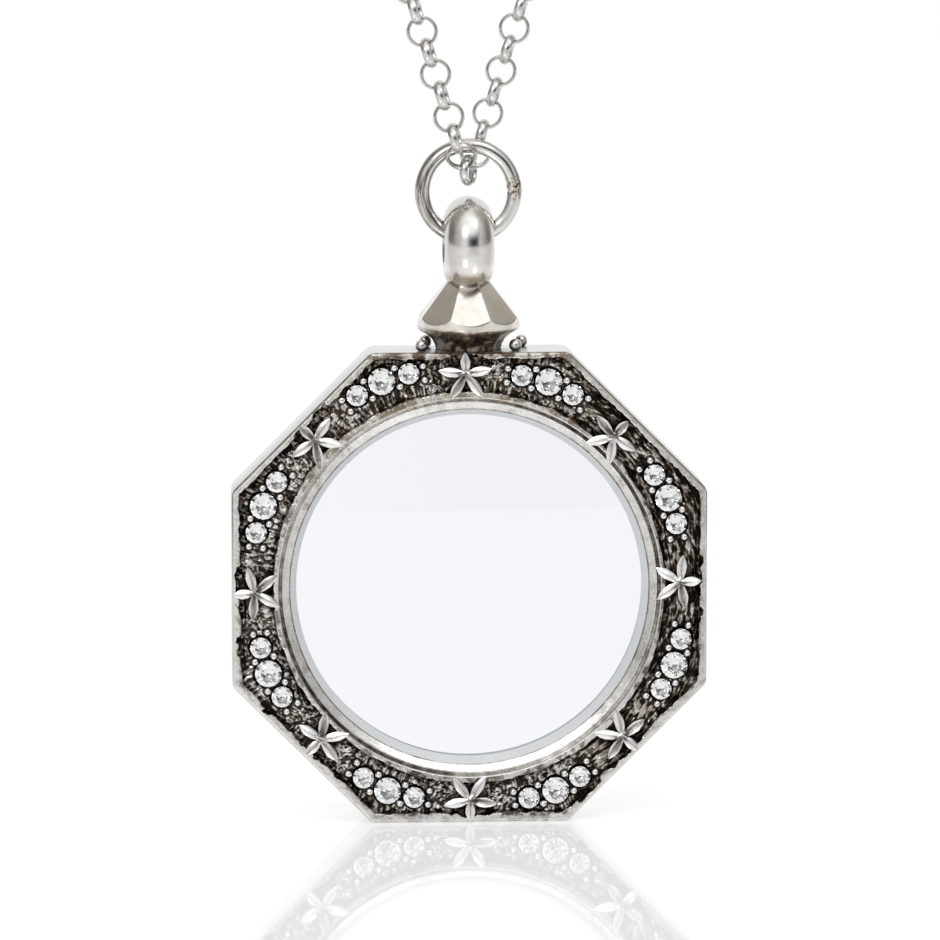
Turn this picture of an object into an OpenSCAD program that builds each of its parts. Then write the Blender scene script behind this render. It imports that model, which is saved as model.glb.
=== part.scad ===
// Magnifier pendant: an eight-sided frame set with crystals round a lens, hung from a cap with
// a bail, a jump ring and a long chain of round links. The origin is where the chain lies on
// the back of the neck. The front of the pendant looks along -Y and +Z is up.

/* [Frame] */
// Width of the frame across its flats
frame_across = 45; // [44:0.5:47]
// Depth of the frame from front to back
frame_depth = 6.2; // [5.8:0.1:6.8]
// Width of the flat rim round the field
rim_w = 0.8; // [0.6:0.02:0.86]
// How far the field lies below the rim
field_depth = 0.7; // [0.5:0.05:0.9]
// Width of the small bevels on the outer edges
edge_bevel = 0.25; // [0.1:0.05:0.4]
// Radius that blunts the corners of the octagon, past the corner of the rim
corner_cut = 0.12; // [0.05:0.01:0.2]

/* [Lens and its mouth] */
// Diameter of the opening at the lip's inner edge
opening_d = 34; // [33:0.25:34.5]
// How far the opening's wall tapers in on its way to the lens
throat_taper = 0.6; // [0.4:0.05:0.7]
// How far the lens reaches under the lip, all round
lens_lap = 0.6; // [0.4:0.05:0.7]
// Thickness of the lens at its edge
lens_edge = 1.8; // [1.4:0.1:2]
// Rise of each face of the lens over its edge
lens_rise = 1.5; // [1:0.1:1.8]
// Width of the sloping lip
lip_w = 0.88; // [0.8:0.02:0.9]
// Width of the thin groove outside the lip
lip_groove_w = 0.15; // [0.1:0.01:0.2]
// Width of the raised ridge outside the groove
ridge_w = 0.5; // [0.4:0.02:0.55]

/* [Stars] */
// Length of a petal
petal_len = 2.75; // [2.4:0.05:2.8]
// Width of a petal
petal_w = 0.98; // [0.8:0.02:1.04]
// Height of a petal's crease over the rim
petal_rise = 0.3; // [0.15:0.05:0.4]

/* [Stones] */
// Diameter of the eight large stones
large_d = 2.55; // [2.3:0.05:2.6]
// Diameter of the sixteen small stones
small_d = 2; // [1.8:0.05:2.05]
// Angle between a large stone and the small one beside it
stone_step = 7.15; // [7.1:0.05:7.4]
// Diameter of the bead prongs
bead_d = 0.72; // [0.6:0.02:0.74]
// Clearance round a stone in its seat
seat_gap = 0.06; // [0.05:0.01:0.1]

/* [Cap and bail] */
// Width of the cap across its upper faces, at the girdle
cap_across = 9.68; // [9.4:0.02:10]
// Height of the cap over the frame
cap_h = 7.4; // [7:0.1:7.6]
// Outer radius of the bail
bail_r = 4.6; // [4.5:0.05:4.7]
// Width of the bail
bail_w = 4.7; // [4.5:0.05:4.8]
// Radius of the hole in the bail, at its middle
bail_hole_r = 1.45; // [1.42:0.01:1.5]

/* [Ring and chain] */
// Radius of the jump ring, at the middle of its wire
ring_r = 4.35; // [4.3:0.01:4.4]
// Thickness of the jump ring's wire
ring_wire = 1.4; // [1.3:0.02:1.4]
// Radius of a chain link, at the middle of its wire
link_r = 1.31; // [1.3:0.005:1.32]
// Width of a link's wire, along the link's own axis
link_w = 0.85; // [0.75:0.01:0.86]
// Thickness of a link's wire, towards the link's middle
link_t = 0.41; // [0.36:0.01:0.42]
// Distance from one link to the next
link_pitch = 2.1; // [2.1:0.005:2.11]
// Links on each side of the neck, between the front pair and the clasp
links_a_side = 164; // [150:2:190]
// Links on each side that are made one by one, from the pendant upwards
links_made = 18; // [6:2:24]

/* [Hidden] */
silver = [0.78, 0.77, 0.75];
bright_silver = [0.86, 0.86, 0.85];
crystal = [0.93, 0.96, 1];
glass = [0.85, 0.93, 0.97];
facets_8 = 360 / 8;
half_facet = facets_8 / 2;

// Frame, measured from the middle of the octagon
apothem = frame_across / 2;
half_depth = frame_depth / 2;
field_z = half_depth - field_depth;
opening_r = opening_d / 2;
lip_r = opening_r + lip_w;
ridge_in_r = lip_r + lip_groove_w;
ridge_out_r = ridge_in_r + ridge_w;
lip_drop_in = 0.8;
lip_drop_out = 0.32;
groove_drop = 0.55;
back_lip_drop = 0.5;
ridge_bevel = 0.1;
lens_r = opening_r + lens_lap;
lens_gap = 0.1;
lens_ball_r = (lens_r * lens_r + lens_rise * lens_rise) / (2 * lens_rise);
throat_r = opening_r - throat_taper;
throat_z = lens_edge / 2 + lens_rise - lens_ball_r + sqrt(pow(lens_ball_r, 2) - pow(throat_r, 2)) + lens_gap;
seat_z = lens_edge / 2 + lens_gap;

// Settings of the stones: how far inside the flats their middles lie
large_r = apothem - 1.35;
small_r = apothem - 1.5;
stone_lift = 0.12;
girdle_h = 0.08;
table_share = 0.56;
crown_share = 0.17;
pavilion_share = 0.4;
seat_depth = pavilion_share * large_d + 0.05;
// Bead prongs of one group: [inside the flats, angle from the large stone]
BEAD_INSET = 0;
BEAD_ANGLE = 1;
beads = [[2.45, 3.95], [0.55, 4.1], [1.1, 11.1], [2.45, 10.8]];
bead_lift = 0.12;

// Turn of the stars and stones inside the outline, as the casting has it
pattern_turn = 1.3;

// Stars, clockwise from the top, each as it was cast: [outward, clockwise degrees, own turn]
star_r = apothem - 2.2;
OUTWARD = 0;
ALONGSIDE = 1;
TURN = 2;
stars = [
    [0.15, 0.2, 1], [-0.5, -0.4, 0.5], [-0.35, 0, 1.5], [0.15, 0.95, 3],
    [0.1, 1.3, 1.5], [-0.1, 0.8, 0.5], [0.1, 0.5, 4.5], [0.15, 0.5, 0]
];
// Groups of three stones, clockwise from the corner after the top: [outward, clockwise degrees]
groups = [
    [-0.2, -0.3], [-0.5, -0.3], [-0.25, 0.2], [0.1, 1.1],
    [-0.15, 0.65], [-0.4, 0.8], [-0.1, 0.95], [0.25, 0.95]
];
star_foot = 0.2;
star_edge_lift = 0.03;
// The five petals from the outward one: their directions, and their lengths as shares of the longest
petal_angles = [0, 81, 146, 214, 279];
petal_shares = [0.74, 0.95, 1, 1, 0.92];
// One petal from root to tip: [way along it, share of the width, share of the rise]
ALONG = 0;
WIDE = 1;
RISE = 2;
petal_rows = [[0.15, 0.44, 1], [0.36, 0.86, 0.95], [0.6, 1, 0.8], [0.82, 0.62, 0.5]];

// Granules beside the cap's foot: [across, front to back], on top of the frame
granules = [[-4.5, -1.75], [4.35, -1.75], [-4.0, 1.75], [5.1, 1.75]];
granule_r = 0.6;
granule_sink = 0.08;

// Cap: radius of its corners at each height over the frame, with a hollow neck under the girdle
cap_profile = [[3.1, 0], [3.2, 0.45], [3.5, 1.0], [4.05, 1.45], [4.7, 1.8], [5.15, 2.15], [5.26, 2.6]];
cap_girdle_r = 4.86;
cap_girdle_z = 2.7;
cap_slope = 0.76;
bail_z = 9.92;
bail_round_r = bail_w / 2;
bail_mouth_r = 3.4;

// Chain: a straight strand rises on each side of the front, then rounds the neck
strand_lean = 17.2;
made_turn = -10;
clasp_body_r = 2;
clasp_body_half = 4.5;
clasp_eye_r = 1.15;
clasp_eye_wire = 0.7;
clasp_eye_x = clasp_body_half + 0.75;
top_half = 7.05;
first_link_s = 6.6;
half_run = first_link_s + link_pitch * (links_a_side - 1) + top_half;
turn_r = (half_run - top_half * (1 / sin(strand_lean) + 1))
    / (1 / tan(strand_lean) + (90 + strand_lean) * PI / 180);
turn_z = clasp_body_r - turn_r;
meet_z = turn_z - (turn_r + top_half * cos(strand_lean)) / sin(strand_lean);
straight_run = top_half * sin(strand_lean) + (turn_z - meet_z) * cos(strand_lean);
strand_y = 2.07;
// Height of the jump ring's upper wire over the point where the two strands would meet
wire_over_meet = 3.43;
wire_z = meet_z + wire_over_meet;
ring_z = wire_z - ring_r;
bail_play = 0.1;
bail_drop = bail_hole_r - ring_wire / 2 - bail_play;
bail_centre_z = ring_z - ring_r - bail_drop;
frame_top_z = bail_centre_z - bail_z;
frame_z = frame_top_z - apothem;
// The three links round the jump ring's wire: [x, y, z from the wire, tilt, lean, turn]
link_under_wire = [0, 0, -2.335, 0, 0, -112.5];
link_before_wire = [-0.704, -1.156, -0.871, 31, -6, 0];
link_over_wire = [-1.331, -2.088, 0.87, 6, -strand_lean, 82];
tube_r = link_r + link_t / 2;
tube_sides = 8;
tube_gap = 0.1;
tube_from = first_link_s + link_pitch * (links_made - 1) + tube_r + tube_gap;
tube_to = half_run - clasp_eye_x - clasp_eye_r - clasp_eye_wire / 2;
round_pieces = 11;

// Turns a shape drawn face up, with its top along +Y, to face the front
module face_front() {
    rotate([90, 0, 0]) children();
}

// Octagon with a flat at the top, by its distance from the middle to a flat
module octagon(flat_r) {
    rotate(half_facet) circle(r = flat_r / cos(half_facet), $fn = 8);
}

module octagon_bevel(h, flat_low, flat_high) {
    rotate([0, 0, half_facet])
        cylinder(h = h, r1 = flat_low / cos(half_facet), r2 = flat_high / cos(half_facet), $fn = 8);
}

// One five-petalled star as a single closed shape, its base sunk in the field.
// Its outline runs round petal by petal: a valley, four points out, the tip, four points back.
function petal_angle(k) = k < 0 ? petal_angles[4] - 360 : petal_angles[k];
function star_dir(k, turn) = 90 + turn + petal_angle(k);
function valley_dir(k, turn) = 90 + turn + (petal_angle(k) + petal_angle(k - 1)) / 2;
function petal_point(k, turn, row, side) =
    let (
        a = star_dir(k, turn),
        d = row[ALONG] * petal_len * petal_shares[k],
        w = side * row[WIDE] * petal_w / 2
    )
    [d * cos(a) - w * sin(a), d * sin(a) + w * cos(a)];
function petal_outline(k, turn) = concat(
    [let (a = valley_dir(k, turn)) 0.1 * petal_len * [cos(a), sin(a)]],
    [for (row = petal_rows) petal_point(k, turn, row, -1)],
    [petal_point(k, turn, [1, 0, 0], 0)],
    [for (i = [len(petal_rows) - 1:-1:0]) petal_point(k, turn, petal_rows[i], 1)]
);
module star(turn) {
    rows = len(petal_rows);
    per_petal = 2 * rows + 2;
    count = 5 * per_petal;
    foot_z = field_z - star_foot;
    edge_z = half_depth + star_edge_lift;
    outline = [for (k = [0:4]) each petal_outline(k, turn)];
    points = concat(
        [for (p = outline) [p[0], p[1], foot_z]],
        [for (p = outline) [p[0], p[1], edge_z]],
        [for (k = [0:4]) for (row = petal_rows)
            let (p = petal_point(k, turn, row, 0)) [p[0], p[1], edge_z + petal_rise * row[RISE]]],
        [[0, 0, foot_z], [0, 0, edge_z + petal_rise]]
    );
    crease = 2 * count;
    foot_mid = len(points) - 2;
    top_mid = len(points) - 1;
    faces = concat(
        [for (i = [0:count - 1]) [foot_mid, (i + 1) % count, i]],
        [for (i = [0:count - 1]) each [
            [i, (i + 1) % count, count + (i + 1) % count],
            [i, count + (i + 1) % count, count + i]]],
        [for (k = [0:4]) each petal_faces(
            [for (i = [0:per_petal]) count + (k * per_petal + i) % count],
            concat([top_mid], [for (i = [0:rows - 1]) crease + k * rows + i]))]
    );
    polyhedron(points, [for (f = faces) [f[0], f[2], f[1]]], convexity = 6);
}
// Faces from a petal's edge up to its crease, on both of its sides
function petal_faces(edge, ridge) =
    let (n = len(ridge), last = len(edge) - 1, tip = n)
    concat(
        [for (i = [0:n - 2]) [edge[i], edge[i + 1], ridge[i + 1]]],
        [for (i = [0:n - 2]) [edge[i], ridge[i + 1], ridge[i]]],
        [[edge[n - 1], edge[tip], ridge[n - 1]]],
        [for (i = [0:n - 2]) [edge[last - i - 1], edge[last - i], ridge[i + 1]]],
        [for (i = [0:n - 2]) [edge[last - i], ridge[i], ridge[i + 1]]],
        [[edge[tip], edge[tip + 1], ridge[n - 1]]]
    );

// Places a shape at a corner group's stone or bead
module at_polar(r, angle) {
    rotate([0, 0, angle]) translate([0, r, 0]) children();
}

// Direction of a corner's group of stones, clockwise from the top
function corner_angle(corner) = pattern_turn - half_facet - corner * facets_8 - groups[corner][ALONGSIDE];

module corner_beads(outward) {
    for (b = beads, side = [-1, 1])
        at_polar(apothem - b[BEAD_INSET] + outward, side * b[BEAD_ANGLE])
            translate([0, 0, field_z + bead_lift]) sphere(d = bead_d, $fn = 32);
}

module seat(r, angle, d) {
    at_polar(r, angle) translate([0, 0, field_z - seat_depth])
        cylinder(h = seat_depth + 1, d = d + 2 * seat_gap, $fn = 48);
}

module corner_seats(outward) {
    seat(large_r + outward, 0, large_d);
    seat(small_r + outward, stone_step, small_d);
    seat(small_r + outward, -stone_step, small_d);
}

// Section of the mouth from the opening out to the ridge, and the lens's seat, taken out of the frame
module mouth_cut() {
    rotate_extrude($fn = 128) polygon([
        [0, -half_depth - 1],
        [lip_r, -half_depth - 1],
        [lip_r, -half_depth],
        [opening_r, -half_depth + back_lip_drop],
        [throat_r, -throat_z],
        [throat_r, throat_z],
        [opening_r, half_depth - lip_drop_in],
        [lip_r - 0.12, half_depth - lip_drop_out],
        [lip_r, half_depth - groove_drop],
        [ridge_in_r, half_depth - groove_drop],
        [ridge_in_r, half_depth - ridge_bevel],
        [ridge_in_r + ridge_bevel, half_depth],
        [ridge_in_r + ridge_bevel, half_depth + 1],
        [0, half_depth + 1]
    ]);
    rotate_extrude($fn = 128) polygon([
        [throat_r - 1, -throat_z],
        [throat_r, -throat_z],
        [lens_r + lens_gap, -seat_z],
        [lens_r + lens_gap, seat_z],
        [throat_r, throat_z],
        [throat_r - 1, throat_z]
    ]);
}

module field_cut() {
    translate([0, 0, field_z]) linear_extrude(field_depth + 1) difference() {
        octagon(apothem - rim_w);
        circle(r = ridge_out_r, $fn = 128);
    }
}

module frame_blank() {
    inset = apothem - edge_bevel;
    intersection() {
        union() {
            translate([0, 0, edge_bevel - half_depth])
                linear_extrude(frame_depth - 2 * edge_bevel) octagon(apothem);
            translate([0, 0, half_depth - edge_bevel]) octagon_bevel(edge_bevel, apothem, inset);
            translate([0, 0, -half_depth]) octagon_bevel(edge_bevel, inset, apothem);
        }
        cylinder(h = frame_depth + 1, r = apothem / cos(half_facet) - corner_cut, center = true, $fn = 128);
    }
}

module frame() color(silver) translate([0, 0, frame_z]) {
    face_front() difference() {
        union() {
            difference() {
                frame_blank();
                field_cut();
            }
            for (i = [0:7]) {
                at_polar(star_r + stars[i][OUTWARD], pattern_turn - i * facets_8 - stars[i][ALONGSIDE])
                    star(stars[i][TURN]);
                rotate([0, 0, corner_angle(i)]) corner_beads(groups[i][OUTWARD]);
            }
        }
        mouth_cut();
        for (i = [0:7]) rotate([0, 0, corner_angle(i)]) corner_seats(groups[i][OUTWARD]);
    }
    for (g = granules)
        translate([g[0], g[1], apothem + granule_r - granule_sink]) sphere(r = granule_r, $fn = 32);
}

// Faceted cap with a round girdle: one of its eight faces looks forward, and below the girdle an edge does
module cap() {
    low_r = cap_across / 2 + cap_slope * cap_girdle_z;
    high_r = low_r - cap_slope * cap_h;
    intersection() {
        octagon_bevel(cap_h, low_r, high_r);
        rotate_extrude($fn = 8) polygon(concat(
            [[0, 0]],
            cap_profile,
            [[cap_profile[len(cap_profile) - 1][0], cap_h + 1], [0, cap_h + 1]]
        ));
        cylinder(h = cap_h, r = cap_girdle_r, $fn = 64);
    }
}

// Bail: round outside, and inside its mouths widen to follow the jump ring's curve
module bail() {
    rotate([0, 90, 0]) rotate_extrude($fn = 96) intersection() {
        translate([bail_r - bail_round_r, 0]) circle(r = bail_round_r, $fn = 64);
        translate([bail_hole_r + bail_mouth_r, 0]) circle(r = bail_mouth_r, $fn = 96);
    }
}

module finial() color(bright_silver) translate([0, 0, frame_top_z]) {
    cap();
    translate([0, 0, bail_z]) bail();
}

// Double-convex lens, turned from the section between its two arcs
module lens() color(glass) translate([0, 0, frame_z]) face_front() rotate_extrude($fn = 128)
    intersection() {
        translate([0, -lens_r]) square([lens_r, 2 * lens_r]);
        translate([0, lens_edge / 2 + lens_rise - lens_ball_r]) circle(r = lens_ball_r, $fn = 720);
        translate([0, lens_ball_r - lens_edge / 2 - lens_rise]) circle(r = lens_ball_r, $fn = 720);
    }

// Round cut stone, table up, with its girdle's lower edge at z = 0
module cut_stone(d) {
    r = d / 2;
    crown_z = girdle_h + crown_share * d;
    points = concat(
        [for (i = [0:15]) r * [cos(i * 22.5), sin(i * 22.5), 0]],
        [for (i = [0:15]) [r * cos(i * 22.5), r * sin(i * 22.5), girdle_h]],
        [for (i = [0:7]) [table_share * r * cos(i * 45), table_share * r * sin(i * 45), crown_z]],
        [[0, 0, -pavilion_share * d]]
    );
    faces = concat(
        [for (i = [0:15]) [i, (i + 1) % 16, 40]],
        [for (i = [0:15]) each [[16 + i, 16 + (i + 1) % 16, (i + 1) % 16], [16 + i, (i + 1) % 16, i]]],
        [for (i = [0:7]) each [
            [32 + i, 16 + 2 * i + 1, 16 + 2 * i],
            [32 + i, 16 + 2 * i, 16 + (2 * i + 15) % 16],
            [32 + i, 32 + (i + 1) % 8, 16 + 2 * i + 1]]],
        [[for (i = [7:-1:0]) 32 + i]]
    );
    polyhedron(points, faces, convexity = 4);
}

// Stone n of 24: three to a corner, small, large, small, counted clockwise from the top
module stone(n) {
    corner = floor((n - 1) / 3);
    place = (n - 1) % 3 - 1;
    r = (place == 0 ? large_r : small_r) + groups[corner][OUTWARD];
    d = place == 0 ? large_d : small_d;
    angle = corner_angle(corner) - place * stone_step;
    color(crystal) translate([0, 0, frame_z]) face_front()
        at_polar(r, angle) translate([0, 0, field_z + stone_lift]) cut_stone(d);
}

module jump_ring() color(bright_silver) translate([0, 0, ring_z])
    rotate([90, 0, 0]) rotate_extrude($fn = 96) translate([ring_r, 0]) circle(d = ring_wire, $fn = 32);

// Chain link standing in the XZ plane: its wire is wide along its own axis and thin across it
module link() {
    arc_r = (pow(link_w / 2, 2) + pow(link_t / 2, 2)) / link_t;
    arc_off = arc_r - link_t / 2;
    rotate([90, 0, 0]) rotate_extrude($fn = 64) intersection() {
        translate([link_r - arc_off, 0]) circle(r = arc_r, $fn = 120);
        translate([link_r + arc_off, 0]) circle(r = arc_r, $fn = 120);
    }
}

// A link beside the jump ring's wire, from its row of numbers
module placed_link(row) {
    translate([row[0], row[1], wire_z + row[2]])
        rotate([row[3], row[4], 0]) rotate([0, 0, row[5]]) link();
}

// Left strand's middle line: [x, z, lean from upright] at distance s from where the strands meet
function strand(s) =
    s < straight_run ? [-s * sin(strand_lean), meet_z + s * cos(strand_lean), -strand_lean] :
    let (a = (s - straight_run) / turn_r * 180 / PI - strand_lean)
    a < 90 ? [-top_half - turn_r * cos(a), turn_z + turn_r * sin(a), a] :
    [s - half_run, turn_z + turn_r, 90];
function strand_depth(s) = -strand_y * (half_run - s) / (half_run - first_link_s);

module made_links() {
    placed_link(link_before_wire);
    placed_link(link_over_wire);
    for (i = [0:links_made - 1]) {
        s = first_link_s + i * link_pitch;
        p = strand(s);
        translate([p[0], strand_depth(s), p[1]])
            rotate([0, p[2], 0]) rotate([0, 0, i % 2 == 0 ? 0 : 90 + made_turn]) link();
    }
}

// One straight piece of the plain tube, mitred to the middle line's direction at both ends
module tube_piece(s0, s1) {
    points = [for (s = [s0, s1], j = [0:tube_sides - 1])
        let (p = strand(s), q = (j + 0.5) * 360 / tube_sides, out = tube_r * cos(q))
        [p[0] - out * cos(p[2]), strand_depth(s) + tube_r * sin(q), p[1] + out * sin(p[2])]];
    faces = concat(
        [[for (j = [tube_sides - 1:-1:0]) j]],
        [for (j = [0:tube_sides - 1]) each
            let (k = (j + 1) % tube_sides) [[j, k + tube_sides, j + tube_sides], [j, k, k + tube_sides]]],
        [[for (j = [0:tube_sides - 1]) tube_sides + j]]
    );
    polyhedron(points, faces, convexity = 2);
}

// The rest of one side of the chain: one long straight piece, then short ones round the neck
module strand_tube() {
    step = (tube_to - straight_run) / round_pieces;
    tube_piece(tube_from, straight_run - tube_gap);
    for (i = [0:round_pieces - 1])
        tube_piece(straight_run + i * step, straight_run + (i + 1) * step - tube_gap);
}

module chain_left() color(silver) {
    placed_link(link_under_wire);
    made_links();
    strand_tube();
}

module chain_right() color(silver) rotate([0, 0, 180]) {
    made_links();
    strand_tube();
}

// Plain barrel with an eye at each end
module clasp() color(silver) translate([0, 0, clasp_body_r]) {
    rotate([0, 90, 0]) cylinder(h = 2 * clasp_body_half, r = clasp_body_r, center = true, $fn = 64);
    for (side = [-1, 1]) translate([side * clasp_eye_x, 0, 0])
        rotate([90, 0, 0]) rotate_extrude($fn = 48)
            translate([clasp_eye_r, 0]) circle(d = clasp_eye_wire, $fn = 24);
}

frame();
finial();
lens();
for (n = [1:24]) stone(n);
jump_ring();
chain_left();
chain_right();
clasp();
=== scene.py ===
import math

import bpy
import numpy as np
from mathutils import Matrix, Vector


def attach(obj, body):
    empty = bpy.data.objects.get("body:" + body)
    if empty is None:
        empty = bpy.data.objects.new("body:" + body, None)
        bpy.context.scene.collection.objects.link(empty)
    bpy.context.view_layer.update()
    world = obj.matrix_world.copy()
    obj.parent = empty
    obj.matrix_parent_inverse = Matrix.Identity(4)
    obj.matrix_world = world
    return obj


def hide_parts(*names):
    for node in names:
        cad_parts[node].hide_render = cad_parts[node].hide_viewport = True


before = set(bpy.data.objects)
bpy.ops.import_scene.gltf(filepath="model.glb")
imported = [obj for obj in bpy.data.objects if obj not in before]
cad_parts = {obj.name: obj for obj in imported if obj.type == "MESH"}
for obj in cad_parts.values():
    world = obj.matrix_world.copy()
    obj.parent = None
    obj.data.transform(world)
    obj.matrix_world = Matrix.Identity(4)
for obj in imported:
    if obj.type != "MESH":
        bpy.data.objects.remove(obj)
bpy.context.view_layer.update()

MM = 0.001
RAD = math.pi / 180

# Sizes in millimetres, as in the CAD source
APOTHEM = 22.5
HALF_DEPTH = 3.1
FIELD_Z = 2.4
RIM_W = 0.8
EDGE_BEVEL = 0.25
CORNER_R = APOTHEM / math.cos(22.5 * RAD) - 0.12
OPENING_R = 17.0
LIP_R = 17.88
RIDGE_IN_R = 18.03
RIDGE_OUT_R = 18.53
LENS_R = 17.6
LENS_EDGE = 1.8
LENS_RISE = 1.5
LENS_TOP = LENS_EDGE / 2 + LENS_RISE
LENS_BALL_R = (LENS_R ** 2 + LENS_RISE ** 2) / (2 * LENS_RISE)
LENS_GAP = 0.1
THROAT_R = 16.4
THROAT_Z = LENS_TOP - LENS_BALL_R + math.sqrt(LENS_BALL_R ** 2 - THROAT_R ** 2) + LENS_GAP
SEAT_Z = LENS_EDGE / 2 + LENS_GAP
PATTERN_TURN = 1.3
LARGE_D = 2.55
SMALL_D = 2.0
LARGE_R = APOTHEM - 1.35
SMALL_R = APOTHEM - 1.5
STONE_STEP = 7.15
STONE_Z = FIELD_Z + 0.12
BEAD_D = 0.72
BEAD_Z = FIELD_Z + 0.12
# Beads round each group of stones: inset from the edge, degrees either way from its middle
BEADS = [[2.45, 3.95], [0.55, 4.1], [1.1, 11.1], [2.45, 10.8]]
STAR_R = APOTHEM - 2.2
# Each star: outward shift, clockwise degrees, own turn
STARS = [
    [0.15, 0.2, 1], [-0.5, -0.4, 0.5], [-0.35, 0, 1.5], [0.15, 0.95, 3],
    [0.1, 1.3, 1.5], [-0.1, 0.8, 0.5], [0.1, 0.5, 4.5], [0.15, 0.5, 0],
]
# Each group of three stones: outward shift, clockwise degrees
GROUPS = [
    [-0.2, -0.3], [-0.5, -0.3], [-0.25, 0.2], [0.1, 1.1],
    [-0.15, 0.65], [-0.4, 0.8], [-0.1, 0.95], [0.25, 0.95],
]
PETAL_LEN = 2.75
PETAL_W = 0.98
PETAL_RISE = 0.3
PETAL_ANGLES = [0, 81, 146, 214, 279]
PETAL_SHARES = [0.74, 0.95, 1, 1, 0.92]
# Granules on the frame's top edge, beside the cap: x and y
GRANULES = [[-4.5, -1.75], [4.35, -1.75], [-4.0, 1.75], [5.1, 1.75]]
GRANULE_R = 0.6
GRANULE_SINK = 0.08
CAP_ACROSS = 9.68
CAP_H = 7.4
CAP_GIRDLE_Z = 2.7
CAP_SLOPE = 0.76
# The cap's lower side: radius at its corners, height
CAP_PROFILE = [[3.1, 0], [3.2, 0.45], [3.5, 1.0], [4.05, 1.45], [4.7, 1.8], [5.15, 2.15], [5.26, 2.6]]
CAP_GIRDLE_R = 4.86
BAIL_Z = 9.92
BAIL_R = 4.6
BAIL_ROUND_R = 2.35
BAIL_HOLE_R = 1.45
BAIL_MOUTH_R = 3.4
BAIL_GAP = 0.1
RING_R = 4.35
RING_WIRE = 1.4
LINK_R = 1.31
LINK_W = 0.85
LINK_T = 0.41
LINK_PITCH = 2.1
LINKS_A_SIDE = 164
STRAND_LEAN = 17.2
MADE_TURN = -10
TOP_HALF = 7.05
FIRST_LINK_S = 6.6
STRAND_Y = 2.07
WIRE_OVER_MEET = 3.43
CLASP_R = 2.0
CLASP_HALF = 4.5
CLASP_EYE_R = 1.15
CLASP_EYE_WIRE = 0.7
CLASP_EYE_X = CLASP_HALF + 0.75
FLOOR_GAP = 0.03

# The chain's run, worked out as in the CAD source
HALF_RUN = FIRST_LINK_S + LINK_PITCH * (LINKS_A_SIDE - 1) + TOP_HALF
LEAN = STRAND_LEAN * RAD
RUN_A_RADIUS = 1 / math.tan(LEAN) + (90 + STRAND_LEAN) * RAD
TURN_R = (HALF_RUN - TOP_HALF * (1 / math.sin(LEAN) + 1)) / RUN_A_RADIUS
TURN_Z = CLASP_R - TURN_R
MEET_Z = TURN_Z - (TURN_R + TOP_HALF * math.cos(LEAN)) / math.sin(LEAN)
STRAIGHT_RUN = TOP_HALF * math.sin(LEAN) + (TURN_Z - MEET_Z) * math.cos(LEAN)
WIRE_Z = MEET_Z + WIRE_OVER_MEET
RING_Z = WIRE_Z - RING_R
BAIL_DROP = BAIL_HOLE_R - RING_WIRE / 2 - BAIL_GAP
FRAME_TOP_Z = RING_Z - RING_R - BAIL_DROP - BAIL_Z
FRAME_Z = FRAME_TOP_Z - APOTHEM
FLOOR_Z = FRAME_Z - APOTHEM - FLOOR_GAP


# Mesh helpers
def rot_x(deg):
    c, s = math.cos(deg * RAD), math.sin(deg * RAD)
    return np.array([[1, 0, 0], [0, c, -s], [0, s, c]])


def rot_y(deg):
    c, s = math.cos(deg * RAD), math.sin(deg * RAD)
    return np.array([[c, 0, s], [0, 1, 0], [-s, 0, c]])


def rot_z(deg):
    c, s = math.cos(deg * RAD), math.sin(deg * RAD)
    return np.array([[c, -s, 0], [s, c, 0], [0, 0, 1]])


def polar(r, deg):
    """A point on the face at radius r, turned anticlockwise from the top."""
    return -r * math.sin(deg * RAD), r * math.cos(deg * RAD)


def to_front(points):
    """Face coordinates (right, up, towards the viewer) to the row frame, in millimetres."""
    p = np.asarray(points, float)
    return np.stack([p[:, 0], -p[:, 2], p[:, 1] + FRAME_Z], 1)


def make_mesh(name, verts, faces, material, sharp=None, values=None):
    mesh = bpy.data.meshes.new(name)
    mesh.from_pydata((np.asarray(verts) * MM).tolist(), [], [list(f) for f in faces])
    for key, data in (values or {}).items():
        layer = mesh.attributes.new(key, "FLOAT", "POINT")
        layer.data.foreach_set("value", np.asarray(data, np.float32))
    mesh.materials.append(material)
    mesh.update()
    if sharp is not None:
        mesh.polygons.foreach_set("use_smooth", np.ones(len(mesh.polygons), bool))
        mesh.set_sharp_from_angle(angle=sharp * RAD)
    obj = bpy.data.objects.new(name, mesh)
    bpy.context.scene.collection.objects.link(obj)
    return obj


class Parts:
    """Vertices and faces of many small forms gathered into one mesh."""

    def __init__(self):
        self.verts = []
        self.faces = []
        self.values = []
        self.count = 0

    def add(self, verts, faces, value=0.0):
        verts = np.asarray(verts, float)
        self.verts.append(verts)
        self.faces.extend([[i + self.count for i in f] for f in faces])
        self.values.append(np.broadcast_to(np.asarray(value, float), (len(verts),)))
        self.count += len(verts)

    def build(self, name, material, sharp=None, value_name=None):
        values = {value_name: np.concatenate(self.values)} if value_name else None
        return make_mesh(name, np.concatenate(self.verts), self.faces, material, sharp, values)


def grid_faces(rows, cols, close_rows=False, close_cols=False):
    faces = []
    for i in range(rows if close_rows else rows - 1):
        for j in range(cols if close_cols else cols - 1):
            a = i * cols + j
            b = i * cols + (j + 1) % cols
            c = ((i + 1) % rows) * cols + (j + 1) % cols
            d = ((i + 1) % rows) * cols + j
            faces.append((a, b, c, d))
    return faces


def revolve(profile, steps, closed=True):
    """Turns (radius, height) points about Z. The faces look outwards when the profile runs upwards."""
    verts = []
    for r, z in profile:
        for k in range(steps):
            a = 2 * math.pi * k / steps
            verts.append((r * math.cos(a), r * math.sin(a), z))
    return np.array(verts), grid_faces(len(profile), steps, closed, True)


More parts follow.
